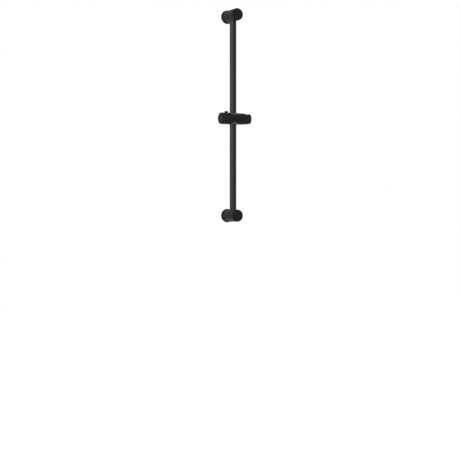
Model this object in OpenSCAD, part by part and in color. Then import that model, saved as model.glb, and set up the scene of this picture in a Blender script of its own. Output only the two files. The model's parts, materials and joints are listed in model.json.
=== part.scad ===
// Shower slide rail: a round tube between two wall brackets, and a slider that a
// push-button brake holds on the tube. The slider's right end tilts and has a
// conical seat for a hand shower, with a slot for its hose.
//
// Frame: +X to the right when facing the wall, +Y into the wall, +Z up. The origin
// lies on the wall, midway between the two wall screws.

/* [Tube] */
// Outside diameter of the tube
tube_d = 22; // [19:0.5:24]
// Wall of the tube
tube_wall = 1.2; // [0.8:0.1:2]
// Distance between the two wall screws
mount_pitch = 660; // [450:10:1100]
// Distance from the wall to the tube's axis
tube_off = 42.5; // [40:0.5:60]

/* [Brackets] */
// Outside diameter of the brackets
bracket_d = 40; // [38:1:50]
// Distance from the tube's axis to the brackets' front faces
bracket_nose = 33.4; // [30:0.2:40]
// Wall of the bracket's shell
bracket_wall = 2.6; // [2:0.1:3.2]
// How far the wall disc stands out past the bracket
disc_rim = 2.5; // [1:0.5:10]
// Thickness of the wall disc
disc_t = 4; // [3:0.5:6]
// Rounding of the wall disc's front edge
disc_edge = 1.5; // [0.5:0.25:2.5]
// Diameter of the hole for the wall screw
screw_hole_d = 5.5; // [4.5:0.5:6.5]
// Diameter of the bore that the screw's head drops into
screw_head_d = 10.5; // [9:0.5:11.5]
// Depth of plastic that the screw clamps
screw_grip = 20; // [12:1:24]
// Wall of the screw boss and of the tube's socket
boss_wall = 2.4; // [2:0.1:2.8]
// Thickness of the ribs
rib_t = 1.6; // [1:0.2:2.4]
// Depth of the front cap's rim
cap_depth = 5; // [4:0.5:6]
// Rounding of the front cap's edge
cap_edge = 2; // [1:0.5:3.5]

/* [Barrel] */
// Height of the slider above the middle of the rail
slider_z = -10; // [-150:1:150]
// Diameter of the slider's barrel
barrel_d = 38; // [37:0.5:44]
// Distance from the tube's axis to the barrel's left end
barrel_left = 47.6; // [46:0.2:56]
// Distance from the tube's axis to the joint with the holder
barrel_right = 17.5; // [17:0.5:22]
// Wall of the barrel
barrel_wall = 2.5; // [2:0.1:3]
// Depth of the end cap's rim
end_depth = 5; // [4:0.5:6]
// Rounding of the end cap's edge
end_edge = 3; // [1:0.5:3.5]
// Radial thickness of the split liner that runs on the tube
liner_t = 2; // [1.5:0.1:2.4]
// Length of the liner
liner_len = 21; // [16:1:22]
// Angle that the liner's split leaves open
liner_gap = 124; // [118:1:130]
// Radial thickness of the collars at the barrel's mouths
collar_t = 3; // [2.5:0.1:3.5]
// How far the collars stand proud of the barrel
collar_proud = 1; // [0.3:0.1:1.5]

/* [Brake] */
// Distance from the tube's axis to the button's axis
button_x = 25; // [24:0.5:27]
// Diameter of the button
button_d = 12; // [10:0.5:13]
// Depth of the dish in the button's top
button_dish = 0.6; // [0.2:0.1:0.8]
// How far the button stands above the barrel
button_proud = 5; // [4:0.5:8]
// Travel of the button
button_travel = 2.5; // [1.5:0.25:3]
// Thickness of the collar that keeps the button in
button_collar_t = 1.5; // [1:0.25:2]
// Thickness of the button's wedge blade
blade_w = 7; // [5:0.5:8]
// Width of the blade at its tip
blade_tip = 2.5; // [2:0.25:3]
// Distance that the shoe draws back for each unit that the button goes down
wedge_share = 0.5; // [0.35:0.05:0.5]
// Width of the brake shoe
shoe_w = 16; // [14:0.5:17]
// Height of the brake shoe
shoe_h = 15; // [13:0.5:16]
// Width and height of the shoe's nose and of its pad
nose_w = 12; // [10:0.5:12]
// Thickness of the pad at its middle
pad_t = 2.2; // [1.8:0.1:2.6]
// Diameter of the spring's wire
wire_d = 1; // [0.8:0.1:1.2]
// Mean diameter of the spring
spring_d = 8; // [7:0.5:9]
// Turns of the spring
spring_turns = 5; // [4:0.5:6]

/* [Holder] */
// Distance from the tube's axis to the holder's right end
holder_end = 60.6; // [60:0.2:70]
// Diameter of the holder at the joint
holder_d = 37.6; // [36:0.2:38]
// Diameter of the holder at its right end
holder_tip_d = 36.8; // [34:0.2:37.4]
// Rounding of the holder's right edge
holder_edge = 2.5; // [1:0.5:3.5]
// Distance from the tube's axis to the seat's axis
seat_x = 48.7; // [48:0.1:50]
// Diameter of the seat at the holder's top
seat_top_d = 22.4; // [22:0.1:24]
// Diameter of the seat at the holder's underside
seat_low_d = 20; // [19:0.1:21]
// Width of the slot for the hose
slot_w = 15; // [13:0.5:17]
// Diameter of the spigot that the holder turns on
spigot_d = 16; // [14:0.5:18]
// Length of the spigot
spigot_len = 10; // [8:0.5:10.5]
// Thickness of the holder's web behind the screw's head
web_t = 3; // [2.5:0.25:3.5]
// Thickness of the friction disc
friction_t = 1.1; // [0.8:0.1:1.4]
// Thread diameter of the pivot screw
pivot_d = 4; // [3:0.5:5]
// Head diameter of the pivot screw
pivot_head_d = 8; // [7:0.5:9]
// Head height of the pivot screw
pivot_head_h = 2.8; // [2:0.2:3]
// Outside diameter of the threaded insert
insert_d = 6.6; // [6.2:0.2:8]
// Thickness of the spring washer
washer_t = 0.8; // [0.5:0.1:1]

/* [Clearances] */
// Radial gap between pieces that turn or slide on each other
running_gap = 0.05; // [0.02:0.01:0.09]
// Gap between pieces that move past each other
free_gap = 0.3; // [0.2:0.05:0.4]
// Gap between faces that press on each other or are pushed together
seat_gap = 0.1; // [0.05:0.01:0.15]

/* [Hidden] */
$fn = 96;

// Finishes
matt_black = "#232324";
satin_grey = "#46474a";
rubber_black = "#18181a";
spring_steel = "#a9abad";
brass_yellow = "#c2a04a";

// How far a cut runs past the solid that it cuts
over = 1;
// Spigots that centre the discs and caps, and the snap bead on them
spigot_wall = 1.8;
spigot_depth = 6;
bead_r = 0.4;

// Tube
tube_r = tube_d / 2;
tube_bore_r = tube_r - tube_wall;

// Bracket, measured from its own axis and from the wall
bracket_r = bracket_d / 2;
bracket_reach = tube_off + bracket_nose;
shell_r = bracket_r - bracket_wall;
shell_front = bracket_reach - cap_depth;
boss_r = screw_head_d / 2 + boss_wall;
boss_front = tube_off + tube_r + boss_wall;
socket_r = tube_r + seat_gap;
socket_wall_r = socket_r + boss_wall;
disc_spigot = 4;
cap_plate = 2.5;

// The tube's end stops on the socket's floor, clear of the screw's head
tube_end = mount_pitch / 2 - boss_r;

// Soft ring in the socket, a lip's width inside the edge of the mouth
ring_t = 1.4;
ring_h = 2.5;
ring_lip = 1.2;
ring_groove_r = tube_r + ring_t + seat_gap;
ring_y = sqrt(pow(bracket_r, 2) - pow(ring_groove_r, 2)) - ring_lip - ring_h;

// Plug in the tube's end
plug_wall = 1.5;
plug_face = 2;
plug_len = 10;

// Barrel, measured from the point where its axis crosses the tube's
barrel_r = barrel_d / 2;
cavity_r = barrel_r - barrel_wall;
housing_left = barrel_left - end_depth;
liner_in_r = tube_r + running_gap;
liner_r = liner_in_r + liner_t;
liner_bore_r = liner_r + running_gap;
collar_in_r = tube_r + free_gap;
collar_r = collar_in_r + collar_t;
collar_z = liner_len / 2 + seat_gap;
cross_wall = 1.5;
cross_r = collar_r + seat_gap + cross_wall;
end_plate = 3;
end_spigot = 5;

// Brake, seen along the wall: the blade's left face and the shoe's slot slope together
shoe_travel = button_travel * wedge_share;
button_r = button_d / 2;
button_edge = 1;
blade_inset = 1;
dish_rim_r = button_r - button_edge;
dish_r = (pow(dish_rim_r, 2) + pow(button_dish, 2)) / (2 * button_dish);
flange_w = 1.75;
flange_z = shoe_h / 2 + button_travel + free_gap;
guide_z = flange_z + button_collar_t + seat_gap;
guide_wall = 2;
blade_right = -button_x + button_r - blade_inset;
blade_reach = shoe_h / 2 + free_gap;
blade_left = blade_right - blade_tip;
shoe_front = -cross_r - free_gap;
shoe_back_wall = 3.4;
shoe_back = blade_left - (blade_reach + shoe_h / 2) * wedge_share - shoe_back_wall;
pad_face_r = tube_r + free_gap;
pad_back = -pad_face_r - pad_t;
groove_depth = 1.5;
rail_t = 2.4;
pocket_depth = 1.5;
pocket_r = (spring_d + wire_d) / 2 + free_gap;
post_len = 3;
post_r = (spring_d - wire_d) / 2 - free_gap;
end_inside = -barrel_left + end_plate;
spring_right = shoe_back + pocket_depth;
spring_steps = 14;
wire_sides = 8;
coil_len = spring_right - end_inside;

// Holder
holder_left = barrel_right + free_gap;
holder_r = holder_d / 2;
holder_tip_r = holder_tip_d / 2;
spigot_r = spigot_d / 2;
holder_bore_r = spigot_r + running_gap;
spigot_end = barrel_right + spigot_len;
web_left = spigot_end + free_gap;
web_right = web_left + web_t;
washer_left = web_right + seat_gap;
head_left = washer_left + washer_t;
washer_r = pivot_head_d / 2 + free_gap;
head_bore_r = washer_r + free_gap;
disc_in_r = spigot_r + free_gap;
disc_out_share = 0.83;
disc_out_r = holder_r * disc_out_share;
insert_r = insert_d / 2;
insert_inset = 1;
insert_left = barrel_right + insert_inset;
thread_r = pivot_d / 2;
hex_share = 0.78;

// Half section of a disc: axis to rim, with the rim's upper edge rounded
module disc_section(r, h, edge) {
    square([r - edge, h]);
    square([r, h - edge]);
    translate([r - edge, h - edge]) intersection() {
        circle(r = edge);
        square(edge);
    }
}

// Half section of a ring, from one height to another
module ring_section(r_in, r_out, low, high) {
    translate([r_in, low]) square([r_out - r_in, high - low]);
}

// A ring round the z axis, from one height to another
module ring(r_in, r_out, low, high) {
    rotate_extrude() ring_section(r_in, r_out, low, high);
}

// A round bore along z that runs past both of its ends
module bore(r, low, high) {
    translate([0, 0, low - over]) cylinder(r = r, h = high - low + 2 * over);
}

// A box given by its lowest and highest corners
module box(low, high) {
    translate(low) cube(high - low);
}

// Turns z away from the wall, at the height of one bracket. The lower bracket is the
// same moulding turned upside down, so that both sockets face the tube.
module at_bracket(side) {
    translate([0, 0, side * mount_pitch / 2])
        rotate([90, 0, 0])
            rotate([0, 0, side > 0 ? 0 : 180])
                children();
}

// Turns z to point from the bracket's axis to the tube, at the tube's distance
module at_socket() {
    translate([0, 0, tube_off]) rotate([90, 0, 0]) children();
}

// The point where the barrel's axis crosses the tube's axis
module at_slider() {
    translate([0, -tube_off, slider_z]) children();
}

// Turns z to point along the barrel, to the right
module along_barrel() {
    rotate([0, 90, 0]) children();
}

module rail_tube() {
    color(matt_black)
        translate([0, -tube_off, 0])
            ring(tube_bore_r, tube_r, -tube_end, tube_end);
}

// Everything of the bracket that is solid before its bores are made
module bracket_blank() {
    ring(shell_r, bracket_r, disc_t, shell_front);
    translate([0, 0, disc_t]) cylinder(r = boss_r, h = boss_front - disc_t);
    intersection() {
        translate([0, 0, disc_t]) cylinder(r = bracket_r - bracket_wall / 2, h = shell_front - disc_t);
        at_socket() translate([0, 0, screw_head_d / 2]) cylinder(r = socket_wall_r, h = bracket_r);
    }
    for (turn = [0, 90, 180]) rotate([0, 0, turn])
        box([boss_r - rib_t, -rib_t / 2, disc_t + disc_spigot + free_gap],
            [shell_r + rib_t / 2, rib_t / 2, disc_t + screw_grip]);
    box([-rib_t / 2, boss_r - rib_t, disc_t + screw_grip - rib_t],
        [rib_t / 2, shell_r + rib_t / 2, boss_front]);
}

module bracket(side) {
    color(matt_black) at_bracket(side) difference() {
        bracket_blank();
        bore(screw_hole_d / 2, disc_t, disc_t + screw_grip);
        translate([0, 0, disc_t + screw_grip]) cylinder(r = screw_head_d / 2, h = boss_front);
        at_socket() translate([0, 0, boss_r]) cylinder(r = socket_r, h = bracket_r);
        at_socket() ring(tube_r, ring_groove_r, ring_y - seat_gap, ring_y + ring_h + seat_gap);
        translate([0, 0, shell_front - spigot_depth / 2])
            rotate_extrude() translate([shell_r - seat_gap, 0]) circle(r = bead_r + seat_gap);
    }
}

// Wall disc: sits flat on the wall and centres the bracket's shell
module wall_disc(side) {
    color(matt_black) at_bracket(side) difference() {
        rotate_extrude() {
            disc_section(bracket_r + disc_rim, disc_t, disc_edge);
            ring_section(shell_r - seat_gap - spigot_wall, shell_r - seat_gap, 0, disc_t + disc_spigot);
        }
        bore(screw_hole_d / 2, 0, disc_t);
    }
}

// Front cap: a shallow cup with a rounded rim, on a spigot with a snap bead
module front_cap(side) {
    cap_r = shell_r - seat_gap;
    color(matt_black) at_bracket(side) translate([0, 0, shell_front]) difference() {
        rotate_extrude() {
            disc_section(bracket_r, cap_depth, cap_edge);
            ring_section(cap_r - spigot_wall, cap_r, -spigot_depth, cap_depth / 2);
            translate([cap_r, -spigot_depth / 2]) circle(r = bead_r);
        }
        bore(cap_r - spigot_wall, -spigot_depth, cap_depth - cap_plate - over);
    }
}

// Plug that closes the tube's end, flush with it
module tube_plug(side) {
    plug_r = tube_bore_r - seat_gap;
    color(rubber_black)
        translate([0, -tube_off, side * tube_end])
            rotate([side > 0 ? 180 : 0, 0, 0])
                difference() {
                    cylinder(r = plug_r, h = plug_len);
                    translate([0, 0, plug_face]) cylinder(r = plug_r - plug_wall, h = plug_len);
                }
}

module socket_ring(side) {
    color(rubber_black)
        at_bracket(side) at_socket() ring(tube_r, tube_r + ring_t, ring_y, ring_y + ring_h);
}

// Split liner: hugs the tube inside the barrel, open towards the brake
module guide_liner() {
    opening = 2 * liner_r;
    color(satin_grey) at_slider() difference() {
        ring(liner_in_r, liner_r, -liner_len / 2, liner_len / 2);
        translate([0, 0, -liner_len])
            linear_extrude(2 * liner_len)
                polygon([
                    [0, 0],
                    [-opening, opening * tan(liner_gap / 2)],
                    [-opening, -opening * tan(liner_gap / 2)]
                ]);
    }
}

// The barrel's cavity for the brake, from its left end to the wall round the tube. The
// button's guide and the two rails that the shoe slides on stay solid.
module brake_cavity() {
    rail_left = -housing_left + end_spigot + free_gap;
    difference() {
        along_barrel() translate([0, 0, -housing_left - over])
            cylinder(r = cavity_r, h = housing_left + over);
        cylinder(r = cross_r, h = barrel_d, center = true);
        translate([-button_x, 0, guide_z]) cylinder(r = button_r + free_gap + guide_wall, h = barrel_r);
        for (turn = [0, 180]) rotate([turn, 0, 0])
            box([rail_left, shoe_w / 2 - groove_depth + free_gap, -rail_t / 2],
                [0, barrel_r, rail_t / 2]);
    }
}

// Barrel: tube mouths above and below, brake cavity on the left, spigot on the right
module slider_housing() {
    window = nose_w / 2 + free_gap;
    color(matt_black) at_slider() difference() {
        along_barrel() {
            translate([0, 0, -housing_left]) cylinder(r = barrel_r, h = housing_left + barrel_right);
            cylinder(r = spigot_r, h = spigot_end);
        }
        brake_cavity();
        cylinder(r = liner_bore_r, h = 2 * barrel_d, center = true);
        for (turn = [0, 180]) rotate([turn, 0, 0])
            translate([0, 0, collar_z]) cylinder(r = collar_r + seat_gap, h = barrel_r);
        box([-cross_r - over, -window, -window], [0, window, window]);
        translate([-button_x, 0, 0]) cylinder(r = button_r + free_gap, h = barrel_d);
        along_barrel() {
            translate([0, 0, insert_left]) cylinder(r = insert_r + seat_gap / 2, h = spigot_len);
            translate([0, 0, -housing_left + end_spigot / 2])
                rotate_extrude() translate([cavity_r - seat_gap, 0]) circle(r = bead_r + seat_gap);
        }
    }
}

// Collar in one of the barrel's mouths, with a saddle-shaped face
module collar(turn) {
    color(satin_grey) at_slider() rotate([turn, 0, 0]) intersection() {
        ring(collar_in_r, collar_r, collar_z, barrel_d);
        along_barrel() cylinder(r = barrel_r + collar_proud, h = barrel_d, center = true);
    }
}

// End cap with the post that the spring sits on
module end_cap() {
    cap_r = cavity_r - seat_gap;
    color(matt_black) at_slider() along_barrel() translate([0, 0, -housing_left]) difference() {
        union() {
            mirror([0, 0, 1]) rotate_extrude() disc_section(barrel_r, end_depth, end_edge);
            rotate_extrude() {
                ring_section(cap_r - spigot_wall, cap_r, -end_depth / 2, end_spigot);
                translate([cap_r, end_spigot / 2]) circle(r = bead_r);
            }
            translate([0, 0, -end_depth]) cylinder(r = post_r, h = end_plate + post_len);
        }
        translate([0, 0, -end_depth + end_plate])
            ring(post_r, cap_r - spigot_wall, 0, end_depth);
    }
}

// Button: round head with a dished top, keeper collar and wedge blade. The blade's left
// face slopes.
module release_button() {
    head_h = barrel_r + button_proud - flange_z;
    color(matt_black) at_slider() {
        translate([-button_x, 0, flange_z]) {
            rotate_extrude() difference() {
                disc_section(button_r, head_h, button_edge);
                translate([0, head_h + dish_r - button_dish]) circle(r = dish_r);
            }
            cylinder(r = button_r + flange_w, h = button_collar_t);
        }
        rotate([90, 0, 0]) linear_extrude(blade_w, center = true)
            polygon([
                [blade_right, flange_z + over],
                [blade_right, -blade_reach],
                [blade_left, -blade_reach],
                [blade_left - (blade_reach + flange_z) * wedge_share, flange_z],
                [blade_left - (blade_reach + flange_z) * wedge_share, flange_z + over]
            ]);
    }
}

// Brake shoe: block with side grooves, a sloped slot for the blade and a nose
module brake_shoe() {
    half_w = shoe_w / 2;
    half_h = shoe_h / 2;
    slot_right = blade_right + shoe_travel + free_gap;
    slot_left = blade_left - seat_gap;
    groove_h = rail_t / 2 + free_gap;
    color(satin_grey) at_slider() difference() {
        union() {
            box([shoe_back, -half_w, -half_h], [shoe_front, half_w, half_h]);
            box([shoe_front - over, -nose_w / 2, -nose_w / 2], [pad_back, nose_w / 2, nose_w / 2]);
        }
        rotate([90, 0, 0]) linear_extrude(blade_w + 2 * free_gap, center = true)
            polygon([
                [slot_right, half_h + over],
                [slot_right, -half_h - over],
                [slot_left - (blade_reach - half_h - over) * wedge_share, -half_h - over],
                [slot_left - (blade_reach + half_h + over) * wedge_share, half_h + over]
            ]);
        for (turn = [0, 180]) rotate([turn, 0, 0])
            box([shoe_back - over, half_w - groove_depth, -groove_h],
                [shoe_front + over, half_w + over, groove_h]);
        along_barrel() translate([0, 0, shoe_back - over]) cylinder(r = pocket_r, h = pocket_depth + over);
    }
}

// Rubber pad, hollowed to the tube's round
module brake_pad() {
    half_w = nose_w / 2;
    color(rubber_black) at_slider() difference() {
        box([pad_back, -half_w, -half_w], [0, half_w, half_w]);
        cylinder(r = pad_face_r, h = barrel_d, center = true);
    }
}

// Centre of the wire at a share of the coil's length, and the ring of points round it
function coil_centre(share) =
    let (turn = 360 * spring_turns * share)
    [
        end_inside + wire_d / 2 + (coil_len - wire_d) * share,
        spring_d / 2 * cos(turn),
        spring_d / 2 * sin(turn)
    ];
function coil_ring(share) =
    let (turn = 360 * spring_turns * share, centre = coil_centre(share))
    [for (i = [0:wire_sides - 1])
        let (a = 360 * i / wire_sides, out = wire_d / 2 * cos(a))
        centre + [wire_d / 2 * sin(a), out * cos(turn), out * sin(turn)]];

module brake_spring() {
    rings = round(spring_turns * spring_steps);
    points = [for (j = [0:rings]) each coil_ring(j / rings)];
    last = rings * wire_sides;
    sides = [for (j = [0:rings - 1], i = [0:wire_sides - 1])
        let (a = j * wire_sides + i, b = j * wire_sides + (i + 1) % wire_sides)
        each [[a, b, b + wire_sides], [a, b + wire_sides, a + wire_sides]]];
    ends = [
        [for (i = [wire_sides - 1:-1:0]) i],
        [for (i = [0:wire_sides - 1]) last + i]
    ];
    color(spring_steel) at_slider() polyhedron(points, concat(sides, ends));
}

module friction_disc() {
    color(rubber_black) at_slider() along_barrel()
        ring(disc_in_r, disc_out_r, barrel_right, barrel_right + friction_t);
}

// Outside of the holder: a slightly tapered barrel with a rounded right edge
module holder_blank() {
    length = holder_end - holder_left;
    along_barrel() translate([0, 0, holder_left]) rotate_extrude() {
        polygon([
            [0, 0],
            [holder_r, 0],
            [holder_tip_r, length - holder_edge],
            [0, length - holder_edge]
        ]);
        square([holder_tip_r - holder_edge, length]);
        translate([holder_tip_r - holder_edge, length - holder_edge]) circle(r = holder_edge);
    }
}

// Holder: conical seat for the hand shower, open to the right for its hose
module holder() {
    seat_slope = (seat_top_d - seat_low_d) / 2 / holder_tip_d;
    seat_mid_r = (seat_top_d + seat_low_d) / 4;
    color(matt_black) at_slider() difference() {
        holder_blank();
        translate([seat_x, 0, -holder_tip_d])
            cylinder(r1 = seat_mid_r - seat_slope * holder_tip_d,
                     r2 = seat_mid_r + seat_slope * holder_tip_d, h = 2 * holder_tip_d);
        box([seat_x, -slot_w / 2, -holder_d], [holder_end + over, slot_w / 2, holder_d]);
        along_barrel() {
            translate([0, 0, holder_left - over]) {
                cylinder(r = holder_bore_r, h = web_left - holder_left + over);
                cylinder(r = disc_out_r + free_gap,
                         h = barrel_right + friction_t + seat_gap - holder_left + over);
            }
            bore(thread_r + free_gap, web_left, web_right);
            translate([0, 0, web_right]) cylinder(r = head_bore_r, h = seat_x - web_right);
        }
    }
}

// Threaded insert, flush with the spigot's end
module pivot_insert() {
    color(brass_yellow) at_slider() along_barrel()
        ring(thread_r + running_gap, insert_r, insert_left, spigot_end);
}

// Pivot screw: shank, round head and hexagon socket
module pivot_screw() {
    color(spring_steel) at_slider() along_barrel() difference() {
        union() {
            translate([0, 0, insert_left]) cylinder(r = thread_r, h = head_left - insert_left + over);
            translate([0, 0, head_left]) rotate_extrude()
                disc_section(pivot_head_d / 2, pivot_head_h, pivot_head_h / 4);
        }
        translate([0, 0, head_left + pivot_head_h / 3])
            cylinder(r = thread_r * hex_share, h = pivot_head_h, $fn = 6);
    }
}

// Spring washer: a shallow cone under the screw's head
module spring_washer() {
    color(spring_steel) at_slider() along_barrel() difference() {
        translate([0, 0, washer_left])
            cylinder(r1 = washer_r, r2 = washer_r - washer_t / 2, h = washer_t);
        bore(thread_r + seat_gap, washer_left, head_left);
    }
}

rail_tube();
bracket(1);  // upper_bracket
bracket(-1);  // lower_bracket
wall_disc(1);  // upper_wall_disc
wall_disc(-1);  // lower_wall_disc
front_cap(1);  // upper_front_cap
front_cap(-1);  // lower_front_cap
tube_plug(1);  // upper_tube_plug
tube_plug(-1);  // lower_tube_plug
socket_ring(1);  // upper_socket_ring
socket_ring(-1);  // lower_socket_ring
guide_liner();
slider_housing();
collar(0);  // upper_collar
collar(180);  // lower_collar
end_cap();
release_button();
brake_shoe();
brake_pad();
brake_spring();
friction_disc();
holder();
pivot_insert();
pivot_screw();
spring_washer();
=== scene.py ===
# %% [markdown]
# A shower slide rail
#
# A matt black tube hangs between two barrel-shaped wall brackets. A slider clamps on the tube
# with a push-button brake, and ends in a tilting holder with a conical seat.
# The imported model already has every hard piece at its real size and place, in metres.
# This lesson gives each piece its finish, and makes some of them again more finely: the drawn
# tube, the saddle-shaped collars, the coil spring, the threaded screw and its knurled insert.

# %% Load the frame
import json
import math
from functools import partial

import bmesh
import bpy
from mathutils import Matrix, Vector


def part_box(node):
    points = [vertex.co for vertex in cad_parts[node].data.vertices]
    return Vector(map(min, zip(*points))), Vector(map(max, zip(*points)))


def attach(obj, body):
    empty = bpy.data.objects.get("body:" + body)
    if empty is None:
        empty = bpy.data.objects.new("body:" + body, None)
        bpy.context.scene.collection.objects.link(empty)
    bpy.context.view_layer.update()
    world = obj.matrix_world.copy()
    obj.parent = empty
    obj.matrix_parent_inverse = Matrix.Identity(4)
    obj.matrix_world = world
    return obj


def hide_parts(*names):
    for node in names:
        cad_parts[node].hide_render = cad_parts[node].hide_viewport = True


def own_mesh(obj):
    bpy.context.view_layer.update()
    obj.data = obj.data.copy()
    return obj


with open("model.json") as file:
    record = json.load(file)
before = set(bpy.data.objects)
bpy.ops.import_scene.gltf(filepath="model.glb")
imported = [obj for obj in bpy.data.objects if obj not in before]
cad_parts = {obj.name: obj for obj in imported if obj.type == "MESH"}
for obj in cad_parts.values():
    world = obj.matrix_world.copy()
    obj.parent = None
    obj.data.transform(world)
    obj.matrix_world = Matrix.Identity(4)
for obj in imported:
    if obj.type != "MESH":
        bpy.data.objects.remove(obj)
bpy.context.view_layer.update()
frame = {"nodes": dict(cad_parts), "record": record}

MM = 0.001
nodes = frame["nodes"]

# %% [markdown]
# Places could be typed in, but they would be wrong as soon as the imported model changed. So they
# are measured on it. The tube and the slider's barrel are round: the middle of each one's box
# is its axis, and half of the box is its radius.

# %% Measure the tube and the barrel
tube_low, tube_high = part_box("rail_tube")
tube_axis = (tube_low + tube_high) / 2
tube_radius = (tube_high.x - tube_low.x) / 2

barrel_low, barrel_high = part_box("slider_housing")
barrel_radius = (barrel_high.y - barrel_low.y) / 2
crossing = Vector((tube_axis.x, tube_axis.y, (barrel_low.z + barrel_high.z) / 2))
print("tube radius", round(tube_radius / MM, 2), "barrel radius", round(barrel_radius / MM, 2))
print("the two axes cross at", [round(v / MM, 1) for v in crossing])

# %% [markdown]
# The camera could be moved by hand until the view looks right. A fit is surer: these values
# bring the outlines of both brackets to where the picture has them. The place is given from the
# tube, the one piece that runs through the whole view. The camera stands to the left of the
# wall's normal and about as low as the lower bracket, and looks down by less than a degree. It
# is far away and its lens is long, which keeps the brackets at both ends nearly alike.

# %% Camera
VIEW_AZIMUTH = math.radians(-27.32)
VIEW_PITCH = math.radians(-0.7076)
VIEW_DISTANCE = 4.2344
VIEW_DROP = 0.3253
VIEW_SIDESTEP = 0.00993
PICTURE_SIDE = 460
FOCAL_PIXELS = 1280.9
SENSOR = 36

backward = Vector((math.sin(VIEW_AZIMUTH), -math.cos(VIEW_AZIMUTH), 0))
rightward = Vector((math.cos(VIEW_AZIMUTH), math.sin(VIEW_AZIMUTH), 0))
look_back = backward * math.cos(VIEW_PITCH) - Vector((0, 0, math.sin(VIEW_PITCH)))

camera = bpy.data.objects.new("camera", bpy.data.cameras.new("camera"))
bpy.context.scene.collection.objects.link(camera)
camera.data.sensor_width = SENSOR
camera.data.lens = SENSOR * FOCAL_PIXELS / PICTURE_SIDE
camera.location = (
    tube_axis + backward * VIEW_DISTANCE - rightward * VIEW_SIDESTEP - Vector((0, 0, VIEW_DROP))
)
camera.rotation_mode = "QUATERNION"
camera.rotation_quaternion = look_back.to_track_quat("Z", "Y")
bpy.context.scene.camera = camera
print("camera at", [round(v, 3) for v in camera.location], "lens", round(camera.data.lens, 1), "mm")

# %% [markdown]
# Every finish, the world and the shape trees below are made of nodes. Adding one takes a line,
# and so does each option, link and value, which would hide what a tree does. So one helper adds
# a node, sets its options, and links or writes its inputs. A second one does arithmetic.

# %% Helpers for nodes
def put(tree, kind, values=None, result=0, **options):
    """Adds a node to a tree and returns one of its outputs."""
    node = tree.nodes.new(kind)
    for option, choice in options.items():
        setattr(node, option, choice)
    for label, value in (values or {}).items():
        if isinstance(value, bpy.types.NodeSocket):
            tree.links.new(value, node.inputs[label])
        else:
            node.inputs[label].default_value = value
    return node.outputs[result] if len(node.outputs) else node


def calc(tree, operation, *values):
    """Adds a Math node whose inputs are sockets or numbers, and returns its result."""
    return put(tree, "ShaderNodeMath", dict(enumerate(values)), operation=operation)


# %% [markdown]
# The studio is white all round, yet a black product must not be flooded with light. A plain
# white world would do both. A Light Path node tells the rays apart: what the camera sees, and
# what a shiny or clear surface shows, is white, while the light that falls on the object comes
# from a dimmer, even dome.

# %% World
DOME_STRENGTH = 0.48
WHITE = (1, 1, 1, 1)


def seen_rays(tree):
    """1 for camera, glossy and transmission rays, and 0 for the rays that light the object."""
    path = put(tree, "ShaderNodeLightPath").node.outputs
    mirrored = calc(tree, "MAXIMUM", path["Is Camera Ray"], path["Is Glossy Ray"])
    return calc(tree, "MAXIMUM", mirrored, path["Is Transmission Ray"])


world = bpy.data.worlds.new("studio_dome")
world.use_nodes = True
tree = world.node_tree
tree.nodes.clear()
dome = put(tree, "ShaderNodeBackground", {"Color": WHITE, "Strength": DOME_STRENGTH})
backdrop = put(tree, "ShaderNodeBackground", {"Color": WHITE, "Strength": 1})
chosen = put(tree, "ShaderNodeMixShader", {0: seen_rays(tree), 1: dome, 2: backdrop})
put(tree, "ShaderNodeOutputWorld", {"Surface": chosen})
bpy.context.scene.world = world
bpy.context.scene.view_settings.view_transform = "Standard"
print("world:", len(tree.nodes), "nodes")

# %% [markdown]
# The rail hangs on a wall, so the floor lies well below it. A large pale plane would look grey
# against the white world, and a glowing one would lose the rail's soft shadow. So a part of its
# white is added for the rays that see it, and the rest is the light that really falls there.

# %% Floor
FLOOR_DEPTH = 1.25
FLOOR_SIZE = 16
FLOOR_GLOW = 0.8
FLOOR_PAINT = (0.85, 0.85, 0.85, 1)

floor_paint = bpy.data.materials.new("pale_floor")
floor_paint.use_nodes = True
tree = floor_paint.node_tree
tree.nodes.clear()
lit = put(tree, "ShaderNodeBsdfDiffuse", {"Color": FLOOR_PAINT})
strength = calc(tree, "MULTIPLY", seen_rays(tree), FLOOR_GLOW)
glow = put(tree, "ShaderNodeEmission", {"Strength": strength})
both = put(tree, "ShaderNodeAddShader", {0: lit, 1: glow})
put(tree, "ShaderNodeOutputMaterial", {"Surface": both})

reach = FLOOR_SIZE / 2
corners = ((-reach, -reach), (reach, -reach), (reach, reach), (-reach, reach))
floor_mesh = bpy.data.meshes.new("floor")
floor_mesh.from_pydata([(x, y, -FLOOR_DEPTH) for x, y in corners], [], [(0, 1, 2, 3)])
floor_mesh.materials.append(floor_paint)
floor = bpy.data.objects.new("floor", floor_mesh)
bpy.context.scene.collection.objects.link(floor)
print("floor at", -FLOOR_DEPTH, "m")

# %% [markdown]
# A sun or a spot would draw a thin, hard line on round black pieces. A soft box is a wide lamp,
# so its reflection is a broad and even stripe. A large one stands far to the left and draws the
# pale stripe down the tube. A weak one above the front lifts the faces that would otherwise
# sink into plain black.

# %% Lamps
def soft_box(name, azimuth, elevation, distance, width, height, power):
    """A rectangular lamp that faces the rail's middle from a direction given in degrees."""
    a = math.radians(azimuth)
    e = math.radians(elevation)
    towards = Vector((math.sin(a) * math.cos(e), -math.cos(a) * math.cos(e), math.sin(e)))
    lamp = bpy.data.objects.new(name, bpy.data.lights.new(name, "AREA"))
    bpy.context.scene.collection.objects.link(lamp)
    lamp.data.shape = "RECTANGLE"
    lamp.data.size = width
    lamp.data.size_y = height
    lamp.data.energy = power
    lamp.location = tube_axis + towards * distance
    lamp.rotation_mode = "QUATERNION"
    lamp.rotation_quaternion = towards.to_track_quat("Z", "Y")
    return lamp


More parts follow.
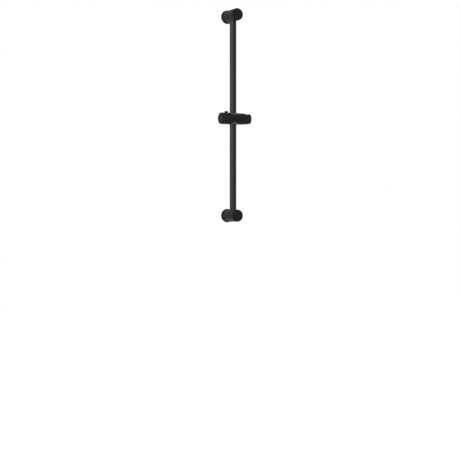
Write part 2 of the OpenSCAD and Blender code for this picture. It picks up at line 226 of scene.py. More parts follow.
lamps = [
    soft_box("key_box", azimuth=-64, elevation=14, distance=2.6, width=0.8, height=2.0, power=55),
    soft_box("front_box", azimuth=10, elevation=40, distance=2.8, width=1.6, height=1.2, power=5),
]
print("lamps:", [(lamp.name, lamp.data.energy) for lamp in lamps])

# %% [markdown]
# A picture of each surface could be wrapped round the pieces, but it would blur from close by
# and stretch at the bends. Here a finish is a rule: a Principled shader, a few noise textures
# that read the piece's own Object coordinates, and a bump. Every piece sits unturned and
# unscaled at the origin, so Object coordinates are metres on the real rail, and the size of a
# grain can be given as it would be measured with a loupe.

# %% Helpers that start a finish and make its noise
NOISE_LOW = 0.3
NOISE_HIGH = 0.7


def start_finish(name, shade, roughness, specular):
    """A new material whose plain values are set on the shader itself."""
    material = bpy.data.materials.new(name)
    material.use_nodes = True
    shader = material.node_tree.nodes["Principled BSDF"]
    shader.inputs["Base Color"].default_value = (*shade, 1)
    shader.inputs["Roughness"].default_value = roughness
    shader.inputs["Specular IOR Level"].default_value = specular
    return material, material.node_tree, shader


def grain(tree, size, detail=2.0, stretch=(1, 1, 1)):
    """Noise with grains of about size metres, drawn out along an axis by stretch."""
    place = put(tree, "ShaderNodeTexCoord").node.outputs["Object"]
    turned = put(tree, "ShaderNodeMapping", {"Vector": place, "Scale": [1 / s for s in stretch]})
    values = {"Vector": turned, "Scale": 1 / size, "Detail": detail}
    return put(tree, "ShaderNodeTexNoise", values).node.outputs["Fac"]


def between(tree, value, low, high):
    """Spreads the useful middle of a noise from low to high."""
    values = {
        "Value": value, "From Min": NOISE_LOW, "From Max": NOISE_HIGH, "To Min": low, "To Max": high
    }
    return put(tree, "ShaderNodeMapRange", values)


# %% [markdown]
# A noise can vary three things: the colour, the gloss and the relief. A value that is the same
# all over a piece stays on the shader itself, and only what varies is linked to it.

# %% Helpers for colour, gloss and relief
def drift(tree, shader, value, dark, pale):
    """Lets the base colour wander between two shades."""
    mix = put(tree, "ShaderNodeMix", {0: between(tree, value, 0, 1)}, data_type="RGBA").node
    mix.inputs["A"].default_value = (*dark, 1)
    mix.inputs["B"].default_value = (*pale, 1)
    tree.links.new(mix.outputs["Result"], shader.inputs["Base Color"])


def vary_gloss(tree, shader, value, low, high):
    """Lets the roughness wander between two values."""
    tree.links.new(between(tree, value, low, high), shader.inputs["Roughness"])


def relief(tree, shader, layers):
    """Stacks bumps, each given as a noise and its depth in metres."""
    normal = None
    for value, depth in layers:
        values = {"Height": value, "Strength": 1, "Distance": depth}
        if normal is not None:
            values["Normal"] = normal
        normal = put(tree, "ShaderNodeBump", values)
    tree.links.new(normal, shader.inputs["Normal"])


# %% [markdown]
# The tube is powder coated. The powder melts into a dense satin skin with a fine, shallow
# ripple like orange peel. The ripple is about a hundredth of a millimetre deep, far too fine
# for geometry, so it is a bump in two sizes. The colour hardly changes, but the gloss wanders
# a little, because the skin is never equally thick.

# %% Powder coat
def make_powder_coat():
    """A dense satin black skin with a shallow ripple."""
    material, tree, shader = start_finish(
        "powder_coat", shade=(0.0125, 0.0125, 0.013), roughness=0.3, specular=0.19
    )
    clouds = grain(tree, size=30 * MM)
    drift(tree, shader, clouds, dark=(0.0115, 0.0115, 0.012), pale=(0.0135, 0.0135, 0.014))
    vary_gloss(tree, shader, grain(tree, size=8 * MM), low=0.27, high=0.33)
    peel = grain(tree, size=1.4 * MM)
    powder = grain(tree, size=0.4 * MM)
    relief(tree, shader, [(peel, 0.008 * MM), (powder, 0.002 * MM)])
    return material


powder_coat = make_powder_coat()
print(powder_coat.name, len(powder_coat.node_tree.nodes), "nodes")

# %% [markdown]
# The brackets with their discs and caps, the barrel with its end cap, the button and the holder
# are moulded from black plastic. Their mould is spark eroded, which prints an even fine grain
# on the part and takes its shine off. Roughness alone would make it dull but not grainy, so a
# bump is added. Where the plastic cooled slowly the grain is a little flatter, so the gloss
# drifts over a centimetre or two.

# %% Moulded plastic
def make_moulded_black():
    """A dull black plastic with an even fine grain."""
    material, tree, shader = start_finish(
        "moulded_black", shade=(0.013, 0.013, 0.0135), roughness=0.5, specular=0.06
    )
    clouds = grain(tree, size=25 * MM)
    drift(tree, shader, clouds, dark=(0.0115, 0.0115, 0.012), pale=(0.0145, 0.0145, 0.015))
    vary_gloss(tree, shader, grain(tree, size=12 * MM, detail=3), low=0.46, high=0.56)
    spark_grain = grain(tree, size=0.4 * MM)
    relief(tree, shader, [(spark_grain, 0.009 * MM)])
    return material


moulded_black = make_moulded_black()
print(moulded_black.name, len(moulded_black.node_tree.nodes), "nodes")

# %% [markdown]
# The collars, the liner and the brake shoe slide or rub, so they are of a slippery plastic
# that isn't painted. It is a dark grey, set a little paler than the plastic itself, so that
# where the tube enters the slider the rim also carries a painted highlight: partly its own
# colour, partly painted light. It could share the black plastic's recipe with another colour,
# but rubbing polishes it, so its grain is shallower and its gloss higher.

# %% Sliding plastic, with a painted highlight on its rims
def make_grey_and_rim_highlight():
    """A dark grey plastic, polished by rubbing, set paler as a painted highlight on its rims."""
    # The shade is the plastic's own grey, raised a little to paint the light that the collars' rims
    # catch.
    material, tree, shader = start_finish(
        "grey_and_rim_highlight", shade=(0.11, 0.11, 0.115), roughness=0.36, specular=0.25
    )
    clouds = grain(tree, size=10 * MM)
    drift(tree, shader, clouds, dark=(0.1, 0.1, 0.105), pale=(0.12, 0.12, 0.125))
    vary_gloss(tree, shader, grain(tree, size=5 * MM), low=0.32, high=0.42)
    rubbed_grain = grain(tree, size=0.5 * MM)
    relief(tree, shader, [(rubbed_grain, 0.008 * MM)])
    return material


grey_and_rim_highlight = make_grey_and_rim_highlight()
print(grey_and_rim_highlight.name, len(grey_and_rim_highlight.node_tree.nodes), "nodes")

# %% [markdown]
# The plugs, the socket rings, the brake's pad and the friction disc are rubber, the dullest
# black of all. A dusting of talc from the mould shows as paler specks. The specks could be
# scattered one by one, but a finer noise in the colour reads the same.

# %% Rubber
def make_rubber():
    """A dull black with pores and specks of talc."""
    material, tree, shader = start_finish(
        "dull_rubber", shade=(0.012, 0.012, 0.013), roughness=0.8, specular=0.25
    )
    talc = grain(tree, size=1.2 * MM, detail=4)
    drift(tree, shader, talc, dark=(0.009, 0.009, 0.01), pale=(0.02, 0.02, 0.021))
    vary_gloss(tree, shader, grain(tree, size=3 * MM), low=0.72, high=0.88)
    pores = grain(tree, size=0.25 * MM, detail=4)
    relief(tree, shader, [(pores, 0.02 * MM)])
    return material


dull_rubber = make_rubber()
print(dull_rubber.name, len(dull_rubber.node_tree.nodes), "nodes")

# %% [markdown]
# Wire is drawn and screws are turned, and both ways leave fine lines. A drawn line follows the
# wire, and the wire of a coil runs nearly square to the coil's axis. So a noise that is drawn
# out square to that axis will do for it. A turned line runs round the lathe's axis. For that,
# each point is first told by two numbers, its place along the axis and its distance from it,
# and the noise is read at those. So the lines are bands on a shank and rings on a flat head.

# %% Helpers for metals
LINE_DETAIL = 3
LINE_DEPTH = 0.004 * MM
SHINIER = 0.06
DULLER = 0.08


def lathe_rings(tree, size):
    """Noise in bands and rings about the barrel's axis, on which the pivot parts are turned."""
    place = put(tree, "ShaderNodeTexCoord").node.outputs["Object"]
    centred = put(tree, "ShaderNodeMapping", {"Vector": place, "Location": [-v for v in crossing]})
    parts = put(tree, "ShaderNodeSeparateXYZ", {0: centred}).node.outputs
    across = put(tree, "ShaderNodeCombineXYZ", {"Y": parts["Y"], "Z": parts["Z"]})
    distance = put(tree, "ShaderNodeVectorMath", {0: across}, result="Value", operation="LENGTH")
    section = put(tree, "ShaderNodeCombineXYZ", {"X": parts["X"], "Y": distance})
    values = {"Vector": section, "Scale": 1 / size, "Detail": LINE_DETAIL}
    return put(tree, "ShaderNodeTexNoise", values).node.outputs["Fac"]


def make_metal(name, dark, pale, make_lines, roughness):
    """A bare metal, whose lines set its shade, its gloss and its relief alike."""
    material, tree, shader = start_finish(name, shade=pale, roughness=roughness, specular=0.5)
    shader.inputs["Metallic"].default_value = 1
    lines = make_lines(tree)
    drift(tree, shader, lines, dark, pale)
    vary_gloss(tree, shader, lines, low=roughness - SHINIER, high=roughness + DULLER)
    relief(tree, shader, [(lines, LINE_DEPTH)])
    return material


# %% Metals
WIRE_LINE = 0.12 * MM
WIRE_STRETCH = (1, 8, 8)
SCREW_LINE = 0.16 * MM
INSERT_LINE = 0.14 * MM
STEEL_DARK = (0.46, 0.46, 0.47)
STEEL_PALE = (0.58, 0.58, 0.59)
BRASS_DARK = (0.5, 0.34, 0.12)
BRASS_PALE = (0.64, 0.45, 0.19)

wire_lines = partial(grain, size=WIRE_LINE, detail=LINE_DETAIL, stretch=WIRE_STRETCH)
screw_rings = partial(lathe_rings, size=SCREW_LINE)
insert_rings = partial(lathe_rings, size=INSERT_LINE)
drawn_steel = make_metal("drawn_steel", STEEL_DARK, STEEL_PALE, wire_lines, roughness=0.26)
turned_steel = make_metal("turned_steel", STEEL_DARK, STEEL_PALE, screw_rings, roughness=0.28)
turned_brass = make_metal("turned_brass", BRASS_DARK, BRASS_PALE, insert_rings, roughness=0.3)
print("metals:", drawn_steel.name, turned_steel.name, turned_brass.name)

# %% [markdown]
# A finish could be given to each node in a line of its own. But the record names a material
# slot for every node, and each slot has one finish here, so a loop does it, and a node that is
# added to the model later gets its finish as well.

# %% A finish for every node
FINISHES = {
    "black_metal": powder_coat,
    "black_plastic": moulded_black,
    "grey_plastic": grey_and_rim_highlight,
    "black_rubber": dull_rubber,
    "bright_steel": drawn_steel,
    "brass": turned_brass,
}
slots = {part["node"]: part["material_slot"] for part in frame["record"]["subparts"]}
for name, node in nodes.items():
    node.data.materials.clear()
    node.data.materials.append(FINISHES[slots[name]])
print("nodes with a finish:", len(nodes))

# %% [markdown]
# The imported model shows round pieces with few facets. Some of them are made again here with
# Geometry Nodes, because their shapes follow a rule: a drawn tube, a ring on a saddle, a coil,
# a thread. They could be built point by point in a script, but a tree shows the rule at work,
# and gets one named input for each size. It ends by making instances real and setting the
# finish.

# %% Helpers that start and end a shape tree
SOCKET_KINDS = {int: "NodeSocketInt", float: "NodeSocketFloat", tuple: "NodeSocketVector"}


def start_tree(name, sizes):
    """A Geometry Nodes tree with one named input for each size, and those inputs.

    Its first input, Outline, is the mesh of the object that the tree runs on."""
    tree = bpy.data.node_groups.new(name, "GeometryNodeTree")
    tree.interface.new_socket("Mesh", in_out="OUTPUT", socket_type="NodeSocketGeometry")
    tree.interface.new_socket("Outline", in_out="INPUT", socket_type="NodeSocketGeometry")
    for label, value in sizes.items():
        tree.interface.new_socket(label, in_out="INPUT", socket_type=SOCKET_KINDS[type(value)])
    return tree, tree.nodes.new("NodeGroupInput").outputs


def shade_by_angle(tree, mesh, degrees):
    """Smooth faces, with edges that stay crisp where they bend by more than the given angle."""
    bend = put(tree, "GeometryNodeInputMeshEdgeAngle")
    limit = math.radians(degrees)
    crisp = put(tree, "FunctionNodeCompare", {0: bend, 1: limit}, operation="GREATER_THAN")
    smooth = put(tree, "GeometryNodeSetShadeSmooth", {0: mesh, "Shade Smooth": True}, domain="FACE")
    values = {0: smooth, "Selection": crisp, "Shade Smooth": False}
    return put(tree, "GeometryNodeSetShadeSmooth", values, domain="EDGE")


def end_tree(tree, mesh, finish):
    """Makes instances real, sets the finish, and closes the tree."""
    real = put(tree, "GeometryNodeRealizeInstances", {0: mesh})
    dressed = put(tree, "GeometryNodeSetMaterial", {0: real, "Material": finish})
    put(tree, "NodeGroupOutput", {0: dressed})
    print(tree.name, len(tree.nodes), "nodes")


# %% [markdown]
# A tree runs as a modifier. Each of the modifier's inputs is set by its identifier and not by
# its name, before the tree first runs. The result is kept as a plain mesh and the modifier is
# taken off, because only meshes are handed on.

# %% Helper that runs a shape tree
def run_tree(tree, name, sizes, outline=()):
    """Runs a tree with the given sizes and keeps the result as a plain mesh at the origin.

    A tree that turns a drawn line gets that line's points as its outline."""
    drawn = bpy.data.meshes.new(name)
    drawn.from_pydata(list(outline), [(i, i + 1) for i in range(len(outline) - 1)], [])
    piece = bpy.data.objects.new(name, drawn)
    bpy.context.scene.collection.objects.link(piece)
    modifier = piece.modifiers.new("shape", "NODES")
    modifier.node_group = tree
    for socket in tree.interface.items_tree:
        if socket.in_out == "INPUT" and socket.name in sizes:
            modifier[socket.identifier] = sizes[socket.name]
    shaped = piece.evaluated_get(bpy.context.evaluated_depsgraph_get())
    mesh = bpy.data.meshes.new_from_object(shaped)
    piece.modifiers.remove(modifier)
    piece.data = mesh
    return piece


# %% [markdown]
# A mesh can look right and still have a gap at a seam, or faces that point inwards. So each
# made piece is counted over: every edge of a closed surface has two faces, and the volume comes
# out above zero only if the faces point outwards.

# %% Helper that looks a piece over
def look_over(piece):
    """Prints a piece's triangles, its open edges and its volume."""
    check = bmesh.new()
    check.from_mesh(piece.data)
    open_edges = sum(not edge.is_manifold for edge in check.edges)
    volume = check.calc_volume(signed=True) / MM**3
    triangles = sum(len(face.verts) - 2 for face in check.faces)
    check.free()
    print(piece.name, triangles, "triangles,", open_edges, "open edges,", round(volume, 1), "mm3")


# %% [markdown]
# The rail tube is drawn: pulled through a die, so its section is the same from end to end. A
# cylinder with a bore cut out of it would have sharp ends. A sweep is neater. It takes the
# wall's section, a long narrow rectangle with slightly rounded corners, and leads it once round
# the tube's axis, which gives the bore and both ends in one closed surface. The collars further
# down start as such a ring too, so the sweep is a helper.

# %% Rail tube's sizes, and a helper that sweeps a ring
TUBE_WALL = 1.2 * MM
TUBE_SIDES = 128
TUBE_BURR = 0.25 * MM
TUBE_CORNER_STEPS = 2
TUBE_CREASE = 10

tube_sizes = {
    "Outer radius": tube_radius,
    "Wall": TUBE_WALL,
    "Length": tube_high.z - tube_low.z,
    "Edge rounding": TUBE_BURR,
    "Sides": TUBE_SIDES,
    "Place": tuple(tube_axis),
}
print("tube", round(tube_sizes["Length"] / MM, 1), "mm long, wall", TUBE_WALL / MM, "mm")


def swept_ring(tree, mid_radius, height, given, corner_steps):
    """A ring whose section has rounded corners. Its middle is at the origin."""
    values = {"Resolution": given["Sides"], "Radius": mid_radius}
    circle = put(tree, "GeometryNodeCurvePrimitiveCircle", values)
    upright = put(tree, "GeometryNodeSetCurveNormal", {0: circle}, mode="Z_UP")
    values = {"Width": given["Wall"], "Height": height}
    section = put(tree, "GeometryNodeCurvePrimitiveQuadrilateral", values)
    values = {"Curve": section, "Count": corner_steps, "Radius": given["Edge rounding"]}
    soft = put(tree, "GeometryNodeFilletCurve", values, mode="POLY")
    return put(tree, "GeometryNodeCurveToMesh", {"Curve": upright, "Profile Curve": soft})


# %% Rail tube
tube_tree, given = start_tree("drawn_tube", tube_sizes)
maths = partial(calc, tube_tree)
mid_radius = maths("SUBTRACT", given["Outer radius"], maths("MULTIPLY", given["Wall"], 0.5))
ring = swept_ring(tube_tree, mid_radius, given["Length"], given, TUBE_CORNER_STEPS)
values = {"Geometry": ring, "Translation": given["Place"]}
placed = put(tube_tree, "GeometryNodeTransform", values)
end_tree(tube_tree, shade_by_angle(tube_tree, placed, TUBE_CREASE), powder_coat)

rail_tube = run_tree(tube_tree, "drawn_rail_tube", tube_sizes)
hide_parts("rail_tube")
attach(rail_tube, "rail")
look_over(rail_tube)

# %% [markdown]
# Where the tube enters the barrel, above and below, sits a collar whose end follows the barrel
# like a saddle. Cutting a ring with a cylinder would do it, but would leave a sharp rim. The
# rule is shorter: take a plain ring with rounded edges, and lower its top by as much as a
# cylinder that lies across it falls away on both sides. Only the upper half is moved, so the
# foot stays flat.

# %% Saddle collars' sizes
COLLAR_WALL = 3 * MM
COLLAR_GAP = 0.3 * MM
COLLAR_PROUD = 1 * MM
COLLAR_ROUNDING = 0.6 * MM
COLLAR_SIDES = 96
COLLAR_CORNER_STEPS = 4
COLLAR_CREASE = 50

collar_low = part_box("upper_collar")[0]
collar_sizes = {
    "Bore radius": tube_radius + COLLAR_GAP,
    "Wall": COLLAR_WALL,
    "Foot": collar_low.z - crossing.z,
    "Saddle radius": barrel_radius + COLLAR_PROUD,
    "Edge rounding": COLLAR_ROUNDING,
    "Sides": COLLAR_SIDES,
    "Turn": (0.0, 0.0, 0.0),
    "Place": tuple(crossing),
}
print("saddle radius", round(collar_sizes["Saddle radius"] / MM, 2), "mm")

# %% Saddle collars' tree
collar_tree, given = start_tree("saddle_collar", collar_sizes)
maths = partial(calc, collar_tree)
top = given["Saddle radius"]
mid_radius = maths("ADD", given["Bore radius"], maths("MULTIPLY", given["Wall"], 0.5))
height = maths("SUBTRACT", top, given["Foot"])
ring = swept_ring(collar_tree, mid_radius, height, given, COLLAR_CORNER_STEPS)
middle = maths("MULTIPLY", maths("ADD", top, given["Foot"]), 0.5)
lift = put(collar_tree, "ShaderNodeCombineXYZ", {"Z": middle})
lifted = put(collar_tree, "GeometryNodeTransform", {"Geometry": ring, "Translation": lift})

point = put(collar_tree, "GeometryNodeInputPosition")
spot = put(collar_tree, "ShaderNodeSeparateXYZ", {0: point}).node.outputs
upper_half = maths("GREATER_THAN", spot["Z"], middle)
sideways = maths("ABSOLUTE", spot["Y"])
squared = maths("SUBTRACT", maths("POWER", top, 2), maths("POWER", sideways, 2))
fall = maths("SUBTRACT", maths("SQRT", squared), top)
offset = put(collar_tree, "ShaderNodeCombineXYZ", {"Z": maths("MULTIPLY", fall, upper_half)})
lowered = put(collar_tree, "GeometryNodeSetPosition", {"Geometry": lifted, "Offset": offset})
values = {"Geometry": lowered, "Translation": given["Place"], "Rotation": given["Turn"]}
placed = put(collar_tree, "GeometryNodeTransform", values)
end_tree(collar_tree, shade_by_angle(collar_tree, placed, COLLAR_CREASE), grey_and_rim_highlight)

# %% [markdown]
# One tree makes both collars. The lower one is the same ring, turned over about the barrel's
# axis, so only its Turn differs.

# %% Both saddle collars
for name, node, turn in (
    ("upper_saddle_collar", "upper_collar", 0.0),
    ("lower_saddle_collar", "lower_collar", math.pi),
):
    collar = run_tree(collar_tree, name, {**collar_sizes, "Turn": (turn, 0.0, 0.0)})
    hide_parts(node)
    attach(collar, "slider")
    look_over(collar)

# %% [markdown]
# The brake spring is coiled from round wire. Each end turn lies tight against its neighbour, so
# that the spring stands straight on the cap and on the shoe, and the turns between are open. A
# Screw modifier has one pitch only. So a straight line of points is bent into the coil by a
# rule, and the wire's section is swept along it.

# %% Brake spring's sizes
SPRING_TURNS = 6.5
END_TURNS = 2
SPRING_WIRE = 1 * MM
POINTS_PER_TURN = 28
WIRE_SIDES = 14
WIRE_CREASE = 50
FULL_TURN = 2 * math.pi

spring_low, spring_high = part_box("brake_spring")
spring_length = spring_high.x - spring_low.x
spring_sizes = {
    "Length": spring_length,
    "Outer radius": (spring_high.y - spring_low.y) / 2,
    "Wire": SPRING_WIRE,
    "Turns": SPRING_TURNS,
    "Place": (spring_low.x, tube_axis.y, (spring_low.z + spring_high.z) / 2),
}
print("spring", round(spring_length / MM, 2), "mm long,", SPRING_TURNS, "turns")

# %% [markdown]
# Along the coil, every turn rises by one wire, which alone would wind it solid. The turns
# between the two end turns rise by more: they share out the length that is left when one wire
# is taken off for each end turn, and one for the wire's own thickness.

# %% Brake spring's tree
spring_tree, given = start_tree("closed_end_coil", spring_sizes)
maths = partial(calc, spring_tree)
line = put(spring_tree, "GeometryNodeCurvePrimitiveLine", {"End": (1, 0, 0)})
values = {"Curve": line, "Count": maths("MULTIPLY", given["Turns"], POINTS_PER_TURN)}
points = put(spring_tree, "GeometryNodeResampleCurve", values)
turn = maths("MULTIPLY", put(spring_tree, "GeometryNodeSplineParameter"), given["Turns"])

open_turns = maths("SUBTRACT", given["Turns"], END_TURNS)
tight_length = maths("MULTIPLY", given["Wire"], END_TURNS + 1)
open_length = maths("SUBTRACT", given["Length"], tight_length)
extra_pitch = maths("SUBTRACT", maths("DIVIDE", open_length, open_turns), given["Wire"])
past_first = maths("MAXIMUM", maths("SUBTRACT", turn, END_TURNS / 2), 0)
turns_opened = maths("MINIMUM", past_first, open_turns)
half_wire = maths("MULTIPLY", given["Wire"], 0.5)
wound_solid = maths("MULTIPLY_ADD", turn, given["Wire"], half_wire)
rise = maths("ADD", wound_solid, maths("MULTIPLY", turns_opened, extra_pitch))

mean_radius = maths("SUBTRACT", given["Outer radius"], half_wire)
angle = maths("MULTIPLY", turn, FULL_TURN)
values = {
    "X": rise,
    "Y": maths("MULTIPLY", maths("COSINE", angle), mean_radius),
    "Z": maths("MULTIPLY", maths("SINE", angle), mean_radius),
}
coil_point = put(spring_tree, "ShaderNodeCombineXYZ", values)
coil = put(spring_tree, "GeometryNodeSetPosition", {"Geometry": points, "Position": coil_point})
values = {"Resolution": WIRE_SIDES, "Radius": half_wire}
wire = put(spring_tree, "GeometryNodeCurvePrimitiveCircle", values)
values = {"Curve": coil, "Profile Curve": wire, "Fill Caps": True}
swept = put(spring_tree, "GeometryNodeCurveToMesh", values)
values = {"Geometry": swept, "Translation": given["Place"]}
placed = put(spring_tree, "GeometryNodeTransform", values)
end_tree(spring_tree, shade_by_angle(spring_tree, placed, WIRE_CREASE), drawn_steel)

# %% Brake spring
brake_spring = run_tree(spring_tree, "brake_coil_spring", spring_sizes)
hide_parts("brake_spring")
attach(brake_spring, "slider")
look_over(brake_spring)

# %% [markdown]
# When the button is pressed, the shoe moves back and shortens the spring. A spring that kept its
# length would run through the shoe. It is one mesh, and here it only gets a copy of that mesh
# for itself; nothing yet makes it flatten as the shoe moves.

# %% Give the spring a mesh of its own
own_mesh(brake_spring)

# %% [markdown]
# The pivot's screw and its insert are made on a lathe, and the next helpers do the same.
# A Screw modifier could turn them too, but a tree can cut their threads in the same run.
# A piece starts as half of its section, drawn as a line of points. The line is turned once
# round. Points that come out double, at the axis or where a section ends where it began, are
# merged, so the skin is closed. After that, whatever a tool would cut or roll into it is a rule
# that moves points nearer to the axis or further from it. Curve to Mesh lays the height of a
# section downwards, so the line is drawn head down.

# %% Helpers that turn a piece
LATHE_RADIUS = 1 * MM
MERGE_WITHIN = 0.002 * MM


def drawn_line(half_section):
    """A half section, given as radius and height, as the lathe's outline points."""
    return [(radius - LATHE_RADIUS, -height, 0) for radius, height in reversed(half_section)]


def turn_section(tree, given):
    """Turns the drawn half section round. Also gives each point's place, radius and turn."""
    values = {"Resolution": given["Sides"], "Radius": LATHE_RADIUS}
    circle = put(tree, "GeometryNodeCurvePrimitiveCircle", values)
    upright = put(tree, "GeometryNodeSetCurveNormal", {0: circle}, mode="Z_UP")
    section = put(tree, "GeometryNodeMeshToCurve", {0: given["Outline"]})
    values = {"Curve": upright, "Profile Curve": section}
    turned = put(tree, "GeometryNodeCurveToMesh", values)
    closed = put(tree, "GeometryNodeMergeByDistance", {0: turned, "Distance": MERGE_WITHIN})
    point = put(tree, "GeometryNodeInputPosition")
    spot = put(tree, "ShaderNodeSeparateXYZ", {0: point}).node.outputs
    across = put(tree, "ShaderNodeCombineXYZ", {"X": spot["X"], "Y": spot["Y"]})
    radius = put(tree, "ShaderNodeVectorMath", {0: across}, result="Value", operation="LENGTH")
    turn = calc(tree, "DIVIDE", calc(tree, "ARCTAN2", spot["Y"], spot["X"]), FULL_TURN)
    return closed, spot, radius, turn


# %% [markdown]
# The piece stands on end while it is worked. Only then is it laid along the barrel, which is
# the pivot's axis, and moved to its place.

# %% Helper that lays a turned piece in its place
TURNED_CREASE = 35
ALONG_BARREL = (0, math.pi / 2, 0)


def finish_turned(tree, mesh, spot, scale, given, finish):
    """Moves each point in or out by scale, and lays the piece along the barrel."""
    values = {
        "X": calc(tree, "MULTIPLY", spot["X"], scale),
        "Y": calc(tree, "MULTIPLY", spot["Y"], scale),
        "Z": spot["Z"],
    }
    worked_point = put(tree, "ShaderNodeCombineXYZ", values)
    worked = put(tree, "GeometryNodeSetPosition", {"Geometry": mesh, "Position": worked_point})
    values = {"Geometry": worked, "Translation": given["Place"], "Rotation": ALONG_BARREL}
    placed = put(tree, "GeometryNodeTransform", values)
    end_tree(tree, shade_by_angle(tree, placed, TURNED_CREASE), finish)


# %% [markdown]
# A thread is a ridge that climbs by one pitch while it goes once round. So its depth at a point
# depends on the height, counted in pitches, less the turn. A zigzag of that number gives the
# straight flanks of a thread, where a sine would give it round ones. The skin needs enough rows
# of points to carry it, so a straight stretch of the half section is divided evenly.

# %% Helpers for threads
THREAD_PITCH = 0.7 * MM
THREAD_ROWS = THREAD_PITCH / 6


def zigzag(tree, value):
    """Rises from 0 to 1 and falls back to 0 each time that the value grows by one."""
    return calc(tree, "MULTIPLY", calc(tree, "PINGPONG", value, 0.5), 2)


def rows_between(radius, start, end, spacing):
    """Points of a straight stretch of a half section, about spacing apart."""
    steps = max(1, round(abs(end - start) / spacing))
    return [(radius, start + (end - start) * i / steps) for i in range(steps + 1)]


# %% [markdown]
# The holder turns on a screw, whose round head shows in the wall of the seat. A real screw gets
# its thread rolled in and its socket punched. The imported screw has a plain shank, because a
# thread of true flanks would cost it thousands of faces. Here the thread's crests have the
# radius of that shank, so the screw fits as before.

# %% Pivot screw's sizes
SCREW_SHANK = 2 * MM
THREAD_DEPTH = 0.36 * MM
BARE_NECK = 2 * MM
SCREW_SIDES = 48
HEAD_HEIGHT = 2.8 * MM
HEAD_EDGE = 0.7 * MM
HEAD_EDGE_STEPS = 8
HEAD_BURR = 0.15 * MM
SOCKET_CORNER = 1.56 * MM
SOCKET_DEPTH = 1.87 * MM
SOCKET_MOUTH = 0.12 * MM
DRILL_POINT = 0.4 * MM

screw_low, screw_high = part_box("pivot_screw")
screw_length = screw_high.x - screw_low.x
head_radius = (screw_high.y - screw_low.y) / 2
under_head = screw_length - HEAD_HEIGHT
socket_bottom = screw_length - SOCKET_DEPTH
screw_sizes = {
    "Sides": SCREW_SIDES,
    "Shank radius": SCREW_SHANK,
    "Pitch": THREAD_PITCH,
    "Thread depth": THREAD_DEPTH,
    "Thread end": under_head - BARE_NECK,
    "Socket corner": SOCKET_CORNER,
    "Socket bottom": socket_bottom,
    "Place": (screw_low.x, tube_axis.y, crossing.z),
}
print("screw", round(screw_length / MM, 2), "mm long, head radius", round(head_radius / MM, 2), "mm")

# %% [markdown]
# The half section runs from the tip's centre up the shank, over the round edge of the head and
# down into the socket, which ends in the cone that a drill leaves.

# %% Pivot screw's half section
def screw_half_section():
    """Pairs of radius and height, from the tip's centre to the socket's centre."""
    line = [(0, 0), (SCREW_SHANK - THREAD_DEPTH, 0)]
    line += rows_between(SCREW_SHANK, THREAD_DEPTH, screw_sizes["Thread end"], THREAD_ROWS)
    line += [(SCREW_SHANK, under_head), (head_radius - HEAD_BURR, under_head)]
    line.append((head_radius, under_head + HEAD_BURR))
    for step in range(HEAD_EDGE_STEPS + 1):
        a = math.radians(90 * step / HEAD_EDGE_STEPS)
        inward = HEAD_EDGE * (1 - math.cos(a))
        down = HEAD_EDGE * (1 - math.sin(a))
        line.append((head_radius - inward, screw_length - down))
    line.append((SOCKET_CORNER + SOCKET_MOUTH, screw_length))
    line.append((SOCKET_CORNER, screw_length - SOCKET_MOUTH))
    return line + [(SOCKET_CORNER, socket_bottom), (0, socket_bottom - DRILL_POINT)]


screw_line = screw_half_section()
print("points in the screw's half section:", len(screw_line))

# %% [markdown]
# The thread fades in over one pitch behind the tip, and out over the last pitch below the bare
# neck, as a rolled one does.

# %% Pivot screw's thread
PLAIN_TIP = 0.5

screw_tree, given = start_tree("turned_screw", screw_sizes)
maths = partial(calc, screw_tree)
turned, spot, radius, turn = turn_section(screw_tree, given)
from_tip = maths("DIVIDE", spot["Z"], given["Pitch"])
to_end = maths("DIVIDE", maths("SUBTRACT", given["Thread end"], spot["Z"]), given["Pitch"])
nearest_end = maths("MINIMUM", maths("SUBTRACT", from_tip, PLAIN_TIP), to_end)
fade = put(screw_tree, "ShaderNodeClamp", {"Value": nearest_end})
groove = maths("MULTIPLY", zigzag(screw_tree, maths("SUBTRACT", from_tip, turn)), fade)
cut = maths("DIVIDE", maths("MULTIPLY", groove, given["Thread depth"]), given["Shank radius"])
thread_scale = maths("SUBTRACT", 1, cut)
print("thread: pitch", round(THREAD_PITCH / MM, 2), "mm, depth", round(THREAD_DEPTH / MM, 2), "mm")

# %% [markdown]
# A hexagon could be cut out of the head with a Boolean, which would leave ragged faces round
# its rim. Here the socket starts round, and each of its points is drawn in to the flat of a
# hexagon. The corners stay where they are, and halfway between two corners the flat is nearest
# to the axis.

# %% Pivot screw's socket
HEX_SIDE = FULL_TURN / 6
NEAR = 0.01 * MM

along_side = maths("FLOORED_MODULO", maths("MULTIPLY", turn, FULL_TURN), HEX_SIDE)
off_middle = maths("SUBTRACT", along_side, HEX_SIDE / 2)
flat = maths("DIVIDE", math.cos(HEX_SIDE / 2), maths("COSINE", off_middle))
inside_corner = maths("LESS_THAN", radius, maths("ADD", given["Socket corner"], NEAR))
in_head = maths("GREATER_THAN", spot["Z"], maths("SUBTRACT", given["Socket bottom"], NEAR))
in_socket = maths("MULTIPLY", inside_corner, in_head)
values = {"Value": in_socket, "To Min": 1, "To Max": flat}
socket_scale = put(screw_tree, "ShaderNodeMapRange", values)
scale = maths("MULTIPLY", thread_scale, socket_scale)
finish_turned(screw_tree, turned, spot, scale, given, turned_steel)

# %% Pivot screw
pivot_screw = run_tree(screw_tree, "threaded_pivot_screw", screw_sizes, drawn_line(screw_line))
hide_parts("pivot_screw")
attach(pivot_screw, "slider")
look_over(pivot_screw)

# %% [markdown]
# The screw goes into a brass insert that is pressed into the warm plastic. Two knurled bands
# that slant opposite ways keep it from turning out, and the waist between them keeps it from
# being pulled out. Its front end is a plain pilot, a step smaller, that finds the hole.

# %% Threaded insert's sizes
INSERT_BORE = 2.05 * MM
INSERT_THREAD = 0.25 * MM
INSERT_SIDES = 72
KNURL_RIDGES = 18.0
KNURL_DEPTH = 0.28 * MM
KNURL_SLANT = 2.4 * MM
BAND_ROWS = 0.4 * MM
PILOT = 0.35 * MM
PILOT_LENGTH = 4 * PILOT
WAIST = 0.5 * MM

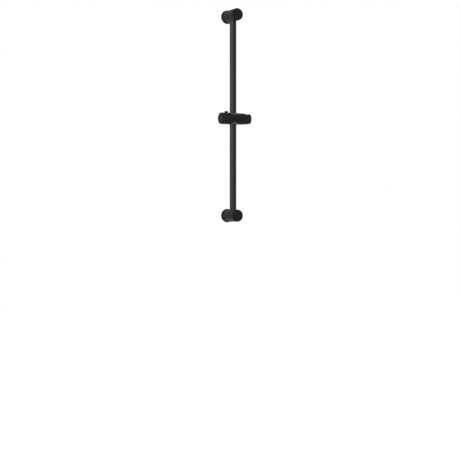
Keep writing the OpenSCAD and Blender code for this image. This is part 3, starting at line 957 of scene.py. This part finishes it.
insert_low, insert_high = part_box("pivot_insert")
insert_length = insert_high.x - insert_low.x
insert_radius = (insert_high.y - insert_low.y) / 2
insert_middle = insert_length / 2
insert_sizes = {
    "Sides": INSERT_SIDES,
    "Outer radius": insert_radius,
    "Bore radius": INSERT_BORE,
    "Pitch": THREAD_PITCH,
    "Thread depth": INSERT_THREAD,
    "Ridges": KNURL_RIDGES,
    "Ridge depth": KNURL_DEPTH,
    "Slant": KNURL_SLANT,
    "Waist height": insert_middle,
    "Place": (insert_low.x, tube_axis.y, crossing.z),
}
print("insert", round(insert_length / MM, 2), "mm long, radius", round(insert_radius / MM, 2), "mm")

# %% [markdown]
# The insert's section doesn't reach the axis, so its line is a ring: out along the lower face,
# up the outside, in along the upper face, and down the bore to where it began.

# %% Threaded insert's half section
def insert_half_section():
    """Pairs of radius and height, once round the wall of the insert."""
    pilot_radius = insert_radius - PILOT
    waist_radius = insert_radius - WAIST
    mouth_radius = INSERT_BORE + INSERT_THREAD
    line = [(mouth_radius, 0), (pilot_radius, 0), (pilot_radius, PILOT_LENGTH)]
    line += rows_between(insert_radius, PILOT_LENGTH + PILOT, insert_middle - 2 * WAIST, BAND_ROWS)
    line += [(waist_radius, insert_middle - WAIST), (waist_radius, insert_middle + WAIST)]
    line += rows_between(insert_radius, insert_middle + 2 * WAIST, insert_length - PILOT, BAND_ROWS)
    line += [(pilot_radius, insert_length), (mouth_radius, insert_length)]
    line += rows_between(INSERT_BORE, insert_length - INSERT_THREAD, INSERT_THREAD, THREAD_ROWS)
    return line + line[:1]


insert_line = insert_half_section()
print("points in the insert's half section:", len(insert_line))

# %% [markdown]
# Knurling could be cut with hundreds of small wedges. One rule draws both bands instead: ridges
# that shift round with the distance from the waist, whichever side of it they are on. Only the
# points at the full radius follow it. Inside, the same rule as on the screw draws the thread,
# but here it widens the bore.

# %% Threaded insert's thread and knurling
insert_tree, given = start_tree("turned_insert", insert_sizes)
maths = partial(calc, insert_tree)
turned, spot, radius, turn = turn_section(insert_tree, given)
in_bore = maths("LESS_THAN", radius, maths("ADD", given["Bore radius"], NEAR))
climb = maths("SUBTRACT", maths("DIVIDE", spot["Z"], given["Pitch"]), turn)
thread = maths("MULTIPLY", zigzag(insert_tree, climb), in_bore)
thread_share = maths("DIVIDE", given["Thread depth"], given["Bore radius"])
grown = maths("MULTIPLY", thread, thread_share)

at_skin = maths("GREATER_THAN", radius, maths("SUBTRACT", given["Outer radius"], NEAR))
from_waist = maths("ABSOLUTE", maths("SUBTRACT", spot["Z"], given["Waist height"]))
shift = maths("DIVIDE", from_waist, given["Slant"])
ridge = zigzag(insert_tree, maths("MULTIPLY_ADD", turn, given["Ridges"], shift))
ridge_share = maths("DIVIDE", given["Ridge depth"], given["Outer radius"])
sunk = maths("MULTIPLY", maths("MULTIPLY", ridge, at_skin), ridge_share)
scale = maths("SUBTRACT", maths("ADD", grown, 1), sunk)
finish_turned(insert_tree, turned, spot, scale, given, turned_brass)

# %% Threaded insert
pivot_insert = run_tree(insert_tree, "knurled_pivot_insert", insert_sizes, drawn_line(insert_line))
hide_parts("pivot_insert")
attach(pivot_insert, "slider")
look_over(pivot_insert)
